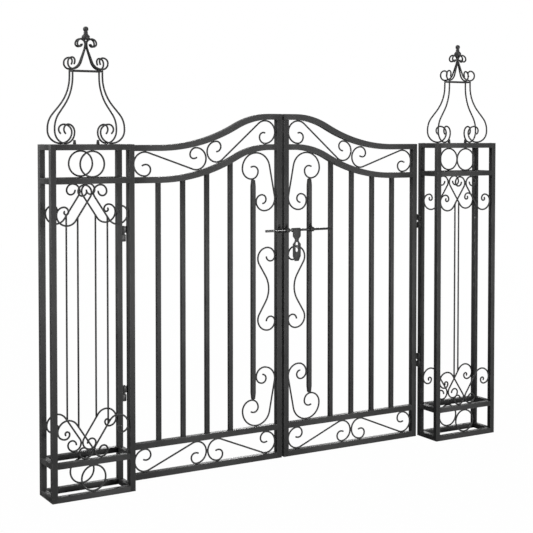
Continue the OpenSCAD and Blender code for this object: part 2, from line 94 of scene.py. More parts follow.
# How a lobe curls in: each row is a share of its radius for a quarter turn, or [share, angle]
curls = {
    "hook": [0.85, 0.58, [0.6, 95]], "lobe": [0.7, 0.44, 0.24, 0.18, [0.16, 60]],
    "archFirst": [0.53, 0.43, [0.6, 36]], "archLow": [0.62, 0.36, [0.6, 35]],
    "archHigh": [0.5, 0.5], "archLast": [0.56, 0.4, [0.3, 35]],
    "baseFar": [0.57, 0.43, [0.6, 30]], "baseNear": [0.54, 0.44, [0.6, 30]],
    "big": [0.66, 0.48, 0.32, [0.42, 30]], "small": [0.77, 0.55, 0.38, 0.34], "middle": [0.8, 0.46, 0.44],
}
spear = {"taper": 15.0, "tip": 3.8}
# Half sizes of the weld spots on the rods, and of the outlines of the beads round the ends of tubes
weld = {
    "onRail": [3.4, 2.2, 1.3], "onHook": [3.2, 2.2, 1.3], "onPost": [1.3, 2.2, 3.4],
    "onStile": [1.3, 2.2, 3.6], "onFineBar": [2.3, 2.3, 2.0], "onTip": [3.0, 2.2, 1.6],
    "betweenLobes": [1.6, 2.0, 3.0], "spotSink": 0.3, "spotRub": 0.3, "tipRise": 0.5,
    "pillarSide": 5.4, "pillarRise": 5.9, "footLift": 0.25, "leafHalf": 6.6, "tubeBead": 0.7, "tubeSink": 0.5,
    "barHalf": 5.0, "barBead": 0.8, "barSink": 0.2, "beadRub": 0.2, "pillarPhase": 1.7, "leafPhase": 1.3,
}
# Widths of the rounded edges on the pieces that keep the model's own shape
bevels = {"footRails": 0.7, "bearers": 0.4, "hinges": 0.5, "plates": 0.5, "latchRod": 0.7, "hasp": 0.35}
onGround = 1.0  # a rail whose underside is lower than this stands on the ground
capInset = 0.4  # how far the end of a tube is drawn in, like a filed edge
sameSpot = 1e-6  # vertices nearer than this, in metres, are one
turnedOver = [0, 3, 2, 1]  # order of a quad's corners that makes it face the other way

tubeZ = [0.0, pillar["tube"] + pillar["band"],
         pillar["height"] - 2 * pillar["tube"] - pillar["band"], pillar["height"] - pillar["tube"]]
clear = rodwork["radius"] + rodwork["seat"]  # from a tube's face to the middle of a rod on it
leafX0 = pillar["width"] + leaf["sideGap"]
leafX1 = gateWidth / 2 - leaf["meetingGap"] / 2
innerX0 = leafX0 + leaf["tube"]
innerX1 = leafX1 - leaf["tube"]
leafY = pillar["depth"] - leaf["tube"] / 2
pitch = (innerX1 - innerX0) / leaf["bays"]
baseTop = leaf["lift"] + 2 * leaf["tube"] + leaf["baseGap"]
sweepX0 = leafX0 + leaf["lowRun"]
sweepX1 = leafX1 - leaf["crestRun"]
sweepAngle = 2 * math.atan(leaf["rise"] / (sweepX1 - sweepX0))
sweepR = leaf["rise"] / (1 - math.cos(sweepAngle))
sweepR1 = sweepR * leaf["sweepShare"]
sweepR2 = sweepR - sweepR1
lowZ = leaf["crest"] - leaf["rise"] - leaf["tube"] / 2
sweepStep = leaf["sweepGap"] + leaf["tube"]
spearX = innerX0 + (leaf["bays"] - 1) * pitch


def linear(code):
    # sRGB hex to linear: c/12.92 under 0.04045, else ((c + 0.055)/1.055)^2.4
    parts = [int(code[i:i + 2], 16) / 255 for i in (1, 3, 5)]
    return [c / 12.92 if c <= 0.04045 else ((c + 0.055) / 1.055) ** 2.4 for c in parts] + [1.0]


def addNode(tree, kind, settings=None, links=None):
    node = tree.nodes.new(kind)
    for key, value in (settings or {}).items():
        if isinstance(key, str) and hasattr(node, key):
            setattr(node, key, value)
        else:
            node.inputs[key].default_value = value
    for key, socket in (links or {}).items():
        tree.links.new(socket, node.inputs[key])
    return node


def newMaterial(name):
    material = bpy.data.materials.new(name)
    material.use_nodes = True
    material.node_tree.nodes.clear()
    return material, material.node_tree


def noise(tree, spot, cellMm, detail, roughness):
    settings = {"Scale": 1 / (cellMm * mm), "Detail": detail, "Roughness": roughness}
    return addNode(tree, "ShaderNodeTexNoise", settings, {"Vector": spot}).outputs["Fac"]


def remapped(tree, source, low, high, first, last):
    return addNode(tree, "ShaderNodeMapRange", {1: low, 2: high, 3: first, 4: last}, {0: source}).outputs[0]


def combined(tree, operation, a, b):
    # The second value is a socket or a number
    settings, links = {"operation": operation}, {0: a}
    (links if isinstance(b, bpy.types.NodeSocket) else settings)[1] = b
    return addNode(tree, "ShaderNodeMath", settings, links).outputs[0]


def mixed(tree, factor, under, over):
    # The colour under is a socket or a colour
    settings, links = {"data_type": "RGBA", 7: over}, {0: factor}
    (links if isinstance(under, bpy.types.NodeSocket) else settings)[6] = under
    return addNode(tree, "ShaderNodeMix", settings, links).outputs[2]


def powderCoat(name, look):
    # Satin powder coat baked on steel: an even near-black with a fine orange peel, slightly thin and
    # polished where handling rubs the edges. A broad patchiness comes from uneven film thickness.
    material, tree = newMaterial(name)
    spot = addNode(tree, "ShaderNodeTexCoord").outputs["Object"]
    patch = noise(tree, spot, look["patchMm"], 3.0, 0.55)
    speck = noise(tree, spot, look["speckMm"], 2.0, 0.6)
    peel = noise(tree, spot, look["peelMm"], 1.5, 0.4)
    coat = mixed(tree, remapped(tree, patch, 0.3, 0.7, 0.0, 1.0), linear(look["dark"]), linear(look["light"]))
    grit = remapped(tree, speck, 0.58, 0.78, 0.0, look["speckShare"])
    dusted = mixed(tree, grit, coat, linear(look["speck"]))
    rubbed = addNode(tree, "ShaderNodeAttribute", {"attribute_name": "edgeRub"}).outputs["Fac"]
    edge = combined(tree, "MULTIPLY", rubbed, remapped(tree, patch, 0.35, 0.65, 0.15, 1.0))
    colour = mixed(tree, combined(tree, "MULTIPLY", edge, look["rubShare"]), dusted, linear(look["rubbed"]))
    gloss = remapped(tree, speck, 0.3, 0.7, look["roughness"] - 0.05, look["roughness"] + 0.06)
    relief = {"Strength": look["peelStrength"], "Distance": look["peelDepthMm"] * mm}
    bump = addNode(tree, "ShaderNodeBump", relief, {"Height": peel})
    shader = addNode(tree, "ShaderNodeBsdfPrincipled",
                     {"Metallic": 0.0, "IOR": 1.5, "Specular IOR Level": look["specular"]},
                     {"Base Color": colour, "Roughness": gloss, "Normal": bump.outputs["Normal"]})
    addNode(tree, "ShaderNodeOutputMaterial", links={"Surface": shader.outputs[0]})
    return material


# The real peel is a cell of about 0.4 mm, too fine to show, so it is drawn at the scales given here
coatLook = {
    "dark": "#2b2b2b", "light": "#343434", "speck": "#4b4b4b", "rubbed": "#6b6b6b",
    "patchMm": 70.0, "speckMm": 1.6, "peelMm": 2.2, "speckShare": 0.35, "rubShare": 0.45,
    "roughness": 0.6, "peelStrength": 0.35, "peelDepthMm": 0.12, "specular": 0.22,
}
finishes = {
    "tube_steel": powderCoat("powderCoatOnTube", coatLook),
    "wrought_rod": powderCoat("powderCoatOnBentRod", {
        **coatLook, "peelMm": 1.6, "rubShare": 0.3, "roughness": 0.5}),
    "cast_finial": powderCoat("powderCoatOnCasting", {
        **coatLook, "peelMm": 3.0, "peelDepthMm": 0.3, "peelStrength": 0.5, "roughness": 0.5}),
    "hinge_steel": powderCoat("powderCoatOnTurnedSteel", {
        **coatLook, "light": "#393939", "roughness": 0.42, "rubShare": 0.7}),
    "latch_steel": powderCoat("powderCoatOnPlate", {
        **coatLook, "roughness": 0.58, "specular": 0.24, "speckShare": 0.25, "rubShare": 0.8}),
}
weldFinish = powderCoat("powderCoatOnWeld", {
    **coatLook, "peelMm": 1.1, "peelDepthMm": 0.4, "peelStrength": 0.8, "roughness": 0.48})
# Sliding has polished the latch rod, so it shines more than the plates that hold it
polishedFinish = powderCoat("coatPolishedBySliding", {
    **coatLook, "dark": "#1e1e1e", "light": "#262626", "roughness": 0.3, "specular": 0.85})
nodeSlot = {row["node"]: row["material_slot"] for row in frame["record"]["subparts"]}
for nodeName, shown in frame["nodes"].items():
    shown.data.materials.clear()
    shown.data.materials.append(finishes[nodeSlot[nodeName]])
print("finishes made:", len(finishes) + 2)


def squareSection(half, radius):
    # A square with quarter-circle corners: corner centre (half - radius) plus radius (cos t, sin t), with a
    # point on each flat close to the corner. The third column is the rub, 1 at the middle of a corner.
    turns = np.radians([0, 22.5, 45, 67.5, 90])
    flat = 1.4
    u = np.concatenate([[half], half - radius + radius * np.cos(turns), [half - radius - flat]])
    v = np.concatenate([[half - radius - flat], half - radius + radius * np.sin(turns), [half]])
    rub = np.array([0, 0.35, 0.8, 1, 0.8, 0.35, 0])
    corners = [np.stack([c * u - s * v, s * u + c * v, rub], 1) for c, s in ((1, 0), (0, 1), (-1, 0), (0, -1))]
    return np.concatenate(corners)


def roundSection(radius, sides):
    # radius (cos t, sin t) for even steps of t
    t = np.arange(sides) * 2 * math.pi / sides
    return np.stack([radius * np.cos(t), radius * np.sin(t), np.zeros(sides)], 1)


def gridFaces(rows, columns, joined=False):
    # Quads between neighbouring rings of points; joined closes the last ring onto the first
    i, j = np.meshgrid(np.arange(rows if joined else rows - 1), np.arange(columns), indexing="ij")
    i1, j1 = (i + 1) % rows, (j + 1) % columns
    corners = [i * columns + j, i1 * columns + j, i1 * columns + j1, i * columns + j1]
    return np.stack(corners, -1).reshape(-1, 4)


def poleFaces(rings, sides):
    # Triangles from the first and the last ring to the two points that follow the rings
    first, second, last = rings * sides, rings * sides + 1, (rings - 1) * sides
    return ([[first, j, (j + 1) % sides] for j in range(sides)]
            + [[second, last + (j + 1) % sides, last + j] for j in range(sides)])


def carried(path, sideways, across, section, inset=capInset):
    # A section carried along a path: point + u * sideways + v * across. The first and last rings are drawn
    # in by the inset, and a flat cap closes each end.
    path, sideways, across = (np.asarray(a, float) for a in (path, sideways, across))
    scale = np.ones(len(path))
    scale[[0, -1]] = 1 - inset / np.abs(section[:, 0]).max()
    ring = (path[:, None] + scale[:, None, None] * (section[None, :, 0, None] * sideways[:, None]
                                                    + section[None, :, 1, None] * across[:, None]))
    n, m = ring.shape[:2]
    quads = gridFaces(n, m)[:, turnedOver]
    caps = [list(range(m - 1, -1, -1)), list(range((n - 1) * m, n * m))]
    return ring.reshape(-1, 3), quads.tolist() + caps, np.tile(section[:, 2], n)


def withEnds(a, b):
    a, b = np.asarray(a, float), np.asarray(b, float)
    along = (b - a) / np.linalg.norm(b - a)
    return np.stack([a, a + along * capInset, b - along * capInset, b])


def straightTube(low, high, radius):
    # A rounded square tube that fills a box, along the box's longest side
    low, high = np.asarray(low, float), np.asarray(high, float)
    size = high - low
    axis = int(np.argmax(size))
    middle = (low + high) / 2
    a, b = middle.copy(), middle.copy()
    a[axis], b[axis] = low[axis], high[axis]
    path = withEnds(a, b)
    sideways = np.eye(3)[(axis + 1) % 3]
    across = np.eye(3)[(axis + 2) % 3]
    section = squareSection(size[(axis + 1) % 3] / 2, radius)
    return carried(path, np.tile(sideways, (4, 1)), np.tile(across, (4, 1)), section)


def cleanCopy(nodeName):
    solid = bmesh.new()
    solid.from_mesh(frame["nodes"][nodeName].data)
    bmesh.ops.remove_doubles(solid, verts=solid.verts, dist=sameSpot)
    return solid


def fromCorner(point):
    # A place in metres as millimetres from the gate's corner
    return (np.array(point) - gateCorner) / mm


def islandBoxes(nodeName):
    # The box of each solid in a node, in millimetres from the gate's corner
    solid = cleanCopy(nodeName)
    solid.verts.ensure_lookup_table()
    seen, boxes = set(), []
    for vertex in solid.verts:
        if vertex.index in seen:
            continue
        group, edge = [], [vertex]
        seen.add(vertex.index)
        while edge:
            v = edge.pop()
            group.append(v.co[:])
            for link in v.link_edges:
                other = link.other_vert(v)
                if other.index not in seen:
                    seen.add(other.index)
                    edge.append(other)
        points = fromCorner(group)
        boxes.append((points.min(0), points.max(0)))
    solid.free()
    return sorted(boxes, key=lambda b: tuple(np.round(b[0], 3)))


def finishPiece(piece, slot, body, nodes, finish=None):
    bpy.context.scene.collection.objects.link(piece)
    piece.data.materials.clear()
    piece.data.materials.append(finish or finishes[slot])
    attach(piece, body)
    if nodes:
        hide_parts(*nodes)


def makePiece(name, parts, slot, body, node=None, finish=None):
    # One mesh from several surfaces, placed from the gate's corner
    points, faces, rub, start = [], [], [], 0
    for vertices, polygons, wear in parts:
        points.append(vertices)
        faces += [[start + k for k in face] for face in polygons]
        rub.append(wear)
        start += len(vertices)
    mesh = bpy.data.meshes.new(name)
    mesh.from_pydata((np.concatenate(points) * mm + gateCorner).tolist(), [], faces)
    wear = mesh.attributes.new("edgeRub", "FLOAT", "POINT")
    wear.data.foreach_set("value", np.concatenate(rub).astype(np.float32))
    mesh.shade_smooth()
    finishPiece(bpy.data.objects.new(name, mesh), slot, body, [node] if node else [], finish)


def softened(name, nodeName, width, body, keep=None, finish=None):
    # A copy of a node with its doubles merged and its edges rounded by a bevel. A copy of a part of the
    # node, picked by keep, replaces nothing
    solid = cleanCopy(nodeName)
    if keep:
        drop = [v for v in solid.verts if not keep(fromCorner(v.co[:]))]
        bmesh.ops.delete(solid, geom=drop, context="VERTS")
    bmesh.ops.dissolve_limit(solid, angle_limit=math.radians(0.5), verts=solid.verts, edges=solid.edges)
    mesh = bpy.data.meshes.new(name)
    solid.to_mesh(mesh)
    solid.free()
    mesh.shade_smooth()
    piece = bpy.data.objects.new(name, mesh)
    finishPiece(piece, nodeSlot[nodeName], body, [] if keep else [nodeName], finish)
    bevel = piece.modifiers.new("edges", "BEVEL")
    bevel.width, bevel.segments, bevel.limit_method = width * mm, 2, "ANGLE"
    bevel.angle_limit, bevel.harden_normals = math.radians(35), True


def after(state, bend):
    # A state is x, y and the heading in radians. A bend of radius r ends at x + r (sin t - sin h),
    # y + r (cos h - cos t), where t is the heading after it
    x, y, h = state
    size, angle = bend
    if angle == 0:
        return [x + size * math.cos(h), y + size * math.sin(h), h]
    r, t = math.copysign(size, angle), h + math.radians(angle)
    return [x + r * (math.sin(t) - math.sin(h)), y + r * (math.cos(h) - math.cos(t)), t]


def stationsOf(state, run):
    stations = [state]
    for bend in run:
        stations.append(after(stations[-1], bend))
    return stations


def backwards(state, run):
    x, y, h = stationsOf(state, run)[-1]
    return [x, y, h + math.pi], [[size, -angle] for size, angle in reversed(run)]


def runPoints(state, run):
    # A straight is two points; a bend of radius r is centre + r (sin h, -cos h) for even steps of heading h
    rows = [np.array([state])]
    for bend, start in zip(run, stationsOf(state, run)):
        x, y, h = start
        size, angle = bend
        if angle == 0:
            rows.append(np.array([after(start, bend)]))
            continue
        r = math.copysign(size, angle)
        steps = max(2, math.ceil(abs(angle) / rodwork["bendStep"]))
        t = h + np.linspace(0, math.radians(angle), steps + 1)[1:]
        rows.append(np.stack([x + r * (np.sin(t) - math.sin(h)), y + r * (math.cos(h) - np.cos(t)), t], 1))
    return np.concatenate(rows)


def bentRod(state, run, origin, right, up):
    # A round rod along a run drawn on the plane of two directions
    rows = runPoints(state, run)
    origin, right, up = (np.asarray(a, float) for a in (origin, right, up))
    spots, turns, tip = rows[:, :2], rows[:, 2], rodwork["tip"]
    first, last = (tip * np.array([[math.cos(turns[k]), math.sin(turns[k])]]) for k in (0, -1))
    flat = np.concatenate([spots[:1], spots[:1] + first, spots[1:-1], spots[-1:] - last, spots[-1:]])
    heading = np.concatenate([turns[:1], turns, turns[-1:]])
    path = origin + flat[:, :1] * right + flat[:, 1:] * up
    sideways = -np.sin(heading)[:, None] * right + np.cos(heading)[:, None] * up
    across = np.tile(np.cross(right, up), (len(path), 1))
    return carried(path, sideways, across, roundSection(rodwork["radius"], rodwork["sides"]), tip)


def turnBetween(start, end, side):
    return side * ((side * (end - start)) % 360)


def lobeRun(start, lobe):
    # The rod follows the lobe's circle to its heading and then curls in
    centre, radius, side, heading, curl = lobe
    turns = [c if isinstance(c, list) else [c, 90] for c in curl]
    curled = [[share * radius, side * angle] for share, angle in turns]
    return [[radius, turnBetween(start, heading, side)]] + curled


def tangentAngle(a, b):
    # Angle in degrees of the straight that touches two circles [centre, radius, side]: the angle between the
    # centres less asin of the radii's signed difference over their distance
    (ca, ra, sa), (cb, rb, sb) = a[:3], b[:3]
    v = np.subtract(cb, ca)
    return math.degrees(math.atan2(v[1], v[0])) - math.degrees(math.asin((sb * rb - sa * ra) / np.hypot(*v)))


def scrollRun(a, b):
    # Two lobes joined by the straight that touches both circles
    (ca, ra, sa), (cb, rb, sb) = a[:3], b[:3]
    back = tangentAngle(a, b)
    n = np.array([-math.sin(math.radians(back)), math.cos(math.radians(back))])
    pa, pb = np.array(ca) - sa * ra * n, np.array(cb) - sb * rb * n
    flipped = [a[0], a[1], -a[2], a[3], a[4]]
    state, run = backwards([pa[0], pa[1], math.radians(back + 180)], lobeRun(back + 180, flipped))
    return state, run + [[float(np.hypot(*(pb - pa))), 0]] + lobeRun(back, b)


def straightRod(a, b, radius=rodwork["radius"]):
    # A round rod from one point to another
    a, b = np.asarray(a, float), np.asarray(b, float)
    along = (b - a) / np.linalg.norm(b - a)
    sideways = np.cross(along, [0, 1, 0] if abs(along[1]) < 0.9 else [1, 0, 0])
    sideways /= np.linalg.norm(sideways)
    across = np.cross(along, sideways)
    return carried(withEnds(a, b), np.tile(sideways, (4, 1)), np.tile(across, (4, 1)),
                   roundSection(radius, rodwork["sides"]))


def ringRod(centre, radius):
    # centre + (radius + r cos p)(cos t, 0, sin t) + r sin p (0, 1, 0), closed both ways
    steps, sides, r = 72, rodwork["sides"], rodwork["radius"]
    t = np.arange(steps)[:, None] * 2 * math.pi / steps
    p = np.arange(sides)[None, :] * 2 * math.pi / sides
    out = radius + r * np.cos(p)
    points = np.stack([out * np.cos(t), r * np.sin(p) + 0 * t, out * np.sin(t)], -1)
    points = points.reshape(-1, 3) + np.asarray(centre, float)
    return points, gridFaces(steps, sides, True)[:, ::-1].tolist(), np.zeros(steps * sides)


def weldSpot(centre, radii, phase):
    # An ellipsoid radii (sin a cos b, sin a sin b, cos a) whose skin ripples by
    # 1 + 0.09 sin(5 b + phase) sin a + 0.06 cos(3 a + phase)
    rings, sides = 7, 12
    a = np.linspace(0, math.pi, rings + 2)[1:-1, None]
    b = np.arange(sides)[None, :] * 2 * math.pi / sides
    swell = 1 + 0.09 * np.sin(5 * b + phase) * np.sin(a) + 0.06 * np.cos(3 * a + phase)
    grid = np.stack([np.sin(a) * np.cos(b), np.sin(a) * np.sin(b), np.cos(a) + 0 * b], -1) * swell[..., None]
    points = np.concatenate([grid.reshape(-1, 3), [[0, 0, 1], [0, 0, -1]]])
    points = points * np.asarray(radii) + np.asarray(centre, float)
    faces = gridFaces(rings, sides).tolist() + poleFaces(rings, sides)
    return points, faces, np.full(len(points), weld["spotRub"])


def weldSkirt(centre, halfA, halfB, axis, size, phase):
    # A fillet round the end of a square tube along an axis: a round section of radius
    # size (1 + 0.14 sin(9 t + phase)) carried round the outline. The half sizes belong to the next two axes
    steps, sides = 40, 8
    t = (np.arange(steps) + 0.5) * 2 * math.pi / steps
    c, s = np.cos(t), np.sin(t)
    reach = 1 / np.maximum(np.abs(c), np.abs(s))
    e0, e1, e2 = (np.eye(3)[(axis + k) % 3] for k in range(3))
    line = np.asarray(centre, float) + (c * reach * halfA)[:, None] * e1 + (s * reach * halfB)[:, None] * e2
    out = c[:, None] * e1 + s[:, None] * e2
    p = np.arange(sides) * 2 * math.pi / sides
    r = (size * (1 + 0.14 * np.sin(9 * t + phase)))[:, None]
    points = line[:, None] + (r * np.cos(p))[..., None] * out[:, None] + (r * np.sin(p))[..., None] * e0
    rub = np.full(steps * sides, weld["beadRub"])
    return points.reshape(-1, 3), gridFaces(steps, sides, True).tolist(), rub


def turned(profile, centre, sides=48):
    # A profile of (radius, height) turned round the upright axis, with a pole at each end
    profile = np.asarray(profile, float)
    t = np.arange(sides) * 2 * math.pi / sides
    ring = profile[1:-1]
    points = np.stack([ring[:, :1] * np.cos(t), ring[:, :1] * np.sin(t), np.repeat(ring[:, 1:], sides, 1)], -1)
    poles = [[0, 0, profile[0, 1]], [0, 0, profile[-1, 1]]]
    points = np.concatenate([points.reshape(-1, 3), poles]) + np.asarray(centre, float)
    faces = gridFaces(len(ring), sides)[:, turnedOver].tolist()
    faces += [face[::-1] for face in poleFaces(len(ring), sides)]
    return points, faces, np.zeros(len(points))


rightAxis, backAxis, upAxis = np.eye(3)
faceY = [pillar["tube"] / 2, pillar["depth"] - pillar["tube"] / 2]
hookCentre = [clear + pillar["hookRadius"], tubeZ[2] - clear - pillar["hookRadius"]]
lobeCentre = [pillar["width"] / 2 - pillar["tube"] - clear - pillar["lobeRadius"],
              tubeZ[2] - pillar["lobeDrop"]]
hookLobe = [hookCentre, pillar["hookRadius"], 1, 0, curls["hook"]]
sideLobe = [lobeCentre, pillar["lobeRadius"], 1, 90, curls["lobe"]]
faceRun = scrollRun(hookLobe, sideLobe)


def fineBarEnd():
    # Where the fine bar meets the straight back of the upper scroll
    back = math.radians(tangentAngle(hookLobe, sideLobe))
    start = np.array(hookCentre) - pillar["hookRadius"] * np.array([-math.sin(back), math.cos(back)])
    return start[1] + (pillar["fineBar"] - start[0]) * math.tan(back)


def pillarRods(x):
    # The rods of both faces of a pillar, and the weld spots that hold them
    rows, spots = {"front": [], "back": []}, []
    sink, height, barTop = weld["spotSink"], pillar["height"], fineBarEnd()
    postX = pillar["width"] / 2 - pillar["tube"] - sink
    for side, y in zip(("front", "back"), faceY):
        for mirror in (1, -1):
            for flip in (1, -1):
                base = 0 if flip > 0 else height
                rows[side].append(bentRod(*faceRun, [x, y, base], [mirror, 0, 0], [0, 0, flip]))
                spots.append([[x + mirror * hookCentre[0], y, base + flip * (tubeZ[2] - sink)], weld["onHook"]])
                spots.append([[x + mirror * postX, y, base + flip * lobeCentre[1]], weld["onPost"]])
            barX = x + mirror * pillar["fineBar"]
            rows[side].append(straightRod([barX, y, height - barTop], [barX, y, barTop]))
            spots += [[[barX, y, z], weld["onFineBar"]] for z in (barTop - sink, height - barTop + sink)]
    return rows, spots


crownStart = [crown["footRadius"], pillar["height"] + clear]
neck = stationsOf([*crownStart, 0], crown["up"])[-1]
footRun = backwards([*crownStart, math.pi], crown["curl"])
crownRun = (footRun[0], footRun[1] + crown["up"])


def crownRods(x):
    y = pillar["depth"] / 2
    angles = np.radians([-crown["angle"], crown["angle"], 180 - crown["angle"], 180 + crown["angle"]])
    return [bentRod(*crownRun, [x, y, 0], [math.cos(a), math.sin(a), 0], upAxis) for a in angles]


def topRods(x):
    # Each upper rod lies in the upright plane from its corner of the waist to its neck, and its straight is
    # as long as it has to be for the rod to stand upright at the waist
    turn, angle = math.radians(crown["topTurn"]), math.radians(crown["angle"])
    waist = np.full(2, crown["waist"])
    neckAt = neck[0] * np.array([math.cos(angle), math.sin(angle)])
    reach = float(np.linalg.norm(neckAt - waist))
    bends = crown["topBend"] * math.sin(turn), crown["waistBend"] * (1 - math.sin(turn))
    slope = (reach - bends[0] - bends[1]) / math.cos(turn)
    inward = [[crown["topBend"], -crown["topTurn"]], [slope, 0], [crown["waistBend"], crown["topTurn"] - 90]]
    state, out = backwards([reach, neck[1] + clear, 0], crown["topOut"])
    direction, y = (neckAt - waist) / reach, pillar["depth"] / 2
    return [bentRod(state, out + inward + crown["topCurl"], [x + a * waist[0], y + b * waist[1], 0],
                    [a * direction[0], b * direction[1], 0], upAxis) for a in (1, -1) for b in (1, -1)]


def collarRods(x):
    y, z = pillar["depth"] / 2, neck[1] - rodwork["radius"]
    angle = math.radians(crown["angle"])
    nx, ny = neck[0] * math.cos(angle), neck[0] * math.sin(angle)
    along = [straightRod([x + clear - nx, y + s * ny, z], [x + nx - clear, y + s * ny, z]) for s in (-1, 1)]
    through = [straightRod([x + s * nx, y + clear - ny, z], [x + s * nx, y + ny - clear, z]) for s in (-1, 1)]
    return along + through


# Finial from its foot: radius and height in shares of the box of the model's finial, with the ball on top
finial = {
    "profile": [[0, 0], [0.6, 0], [0.78, 0.012], [0.84, 0.05], [1.0, 0.1], [1.0, 0.235], [0.93, 0.29],
                [0.7, 0.37], [0.56, 0.41], [0.5, 0.45], [0.52, 0.56]],
    "ball": 6.0, "ballFrom": -52,
}


def finialSurface(nodeName):
    low, high = (fromCorner(corner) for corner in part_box(nodeName))
    radius, height = (high[0] - low[0]) / 2, high[2] - low[2]
    body = np.array(finial["profile"]) * [radius, height]
    t, r = np.radians(np.linspace(finial["ballFrom"], 90, 16)), finial["ball"]
    ball = np.stack([r * np.cos(t), height - r + r * np.sin(t)], 1)
    return turned(np.concatenate([body, ball]), [(low[0] + high[0]) / 2, (low[1] + high[1]) / 2, low[2]])


def endBeads(boxes, axis, phase):
    # Beads round both ends of the rails along an axis. They show over and under a rail; on its sides they
    # are ground flush, and so is the foot
    beads = []
    for k, (low, high) in enumerate(boxes):
        lift = weld["footLift"] if low[2] < onGround else 0.0
        rise = weld["pillarRise"] - lift
        halves = (weld["pillarSide"], rise) if axis == 0 else (rise, weld["pillarSide"])
        for end in (low[axis] + weld["tubeSink"], high[axis] - weld["tubeSink"]):
            centre = (low + high) / 2 + [0, 0, lift]
            centre[axis] = end
            beads.append(weldSkirt(centre, *halves, axis, weld["tubeBead"], k + phase))
    return beads


def roundedTubes(name, nodeName, body, boxes, radius):
    makePiece(name, [straightTube(*box, radius) for box in boxes], "tube_steel", body, nodeName)


for side, shift in (("left", 0.0), ("right", gateWidth - pillar["width"])):
    middle = shift + pillar["width"] / 2
    kinds = ("posts", "face_rails", "side_rails")
    posts, faceRails, sideRails = (islandBoxes(f"{side}_{kind}") for kind in kinds)
    upperRails = [box for box in faceRails if box[0][2] > onGround]
    roundedTubes(f"{side}Posts", f"{side}_posts", "pillars", posts, pillar["cornerRadius"])
    roundedTubes(f"{side}FaceRails", f"{side}_face_rails", "pillars", upperRails, pillar["cornerRadius"])
    # The foot rails keep the fixing holes of the model
    softened(f"{side}FootRails", f"{side}_face_rails", bevels["footRails"], "pillars",
             lambda p: p[2] < 2 * pillar["tube"])
    roundedTubes(f"{side}SideRails", f"{side}_side_rails", "pillars", sideRails, pillar["cornerRadius"])
    ringZ = [z + pillar["tube"] + pillar["band"] / 2 for z in (tubeZ[0], tubeZ[2])]
    rings = [ringRod([middle, y, z], pillar["band"] / 2 - clear) for y in faceY for z in ringZ]
    rods, spots = pillarRods(middle)
    for part, surfaces, nodeName in (
            ("Rings", rings, "rings"), ("FrontScrolls", rods["front"], "front_scrolls"),
            ("BackScrolls", rods["back"], "back_scrolls"),
            ("CrownRods", crownRods(middle) + collarRods(middle), "crown_rods"),
            ("CrownTop", topRods(middle), "crown_top")):
        makePiece(side + part, surfaces, "wrought_rod", "pillars", f"{side}_{nodeName}")
    makePiece(f"{side}Finial", [finialSurface(f"{side}_finial")], "cast_finial", "pillars", f"{side}_finial")
    softened(f"{side}CrownBearers", f"{side}_crown_bearers", bevels["bearers"], "pillars")
    softened(f"{side}HingePins", f"{side}_hinge_pins", bevels["hinges"], "pillars")
    ringTouch = pillar["band"] / 2 - weld["spotSink"]
    spots += [[[middle, y, z + s * ringTouch], weld["onRail"]] for y in faceY for z in ringZ for s in (-1, 1)]
    welds = [weldSpot(centre, radii, weld["pillarPhase"] * k) for k, (centre, radii) in enumerate(spots)]
    welds += endBeads(faceRails, 0, 0) + endBeads(sideRails, 1, 0.5)
    makePiece(f"{side}PillarWelds", welds, "tube_steel", "pillars", finish=weldFinish)
print("pillars made")


def sweepHeight(x, drop=0.0):
    # Height of the top rail's middle line, or of the line a drop below it: level, an arc that rises, an arc
    # that levels out, and level again
    x = np.asarray(x, float)
    r1, r2 = sweepR1 + drop, sweepR2 - drop
    xMid = sweepX0 + r1 * math.sin(sweepAngle)
    fromLow, toHigh = np.clip(x, sweepX0, xMid) - sweepX0, sweepX1 - np.clip(x, xMid, sweepX1)
    low = lowZ - drop + r1 - np.sqrt(np.maximum(r1 ** 2 - fromLow ** 2, 0))
    high = lowZ + leaf["rise"] - drop - r2 + np.sqrt(np.maximum(r2 ** 2 - toHigh ** 2, 0))
    return np.where(x <= xMid, low, high)


def sweepSlope(x):
    # Slope in degrees, taken over one millimetre
    return np.degrees(np.arctan(sweepHeight(x + 0.5) - sweepHeight(x - 0.5)))


def headHeight(x):
    # Underside of the lower swept rail
    return sweepHeight(x, leaf["tube"] / 2) - sweepStep


def bandZ(x):
    # Middle of the band between the two swept rails
    return float(sweepHeight(x)) - sweepStep / 2


def sweptRail(x0, x1, drop):
    bend = np.linspace(sweepX0, sweepX1, 61)
    x = np.concatenate([[x0, x0 + capInset], bend, [x1 - capInset, x1]])
    slope = np.radians(sweepSlope(x))
    slope[[0, 1, -1, -2]] = 0
    path = np.stack([x, np.full_like(x, leafY), sweepHeight(x) - drop], 1)
    sideways = np.stack([-np.sin(slope), 0 * slope, np.cos(slope)], 1)
    section = squareSection(leaf["tube"] / 2, leaf["cornerRadius"])
    return carried(path, sideways, np.tile([0.0, -1.0, 0.0], (len(x), 1)), section)


def infillBar(x):
    # A square bar whose head is cut to the lower swept rail
    top, (right, back) = float(headHeight(x)), np.eye(3)[:2]
    path = withEnds([x, leafY, baseTop], [x, leafY, top])
    section = squareSection(leaf["bar"] / 2, leaf["cornerRadius"])
    vertices, faces, rub = carried(path, np.tile(right, (4, 1)), np.tile(back, (4, 1)), section)
    head = vertices[len(vertices) // 2:]
    head[:, 2] += headHeight(head[:, 0]) - top - leaf["headGap"]
    return vertices, faces, rub


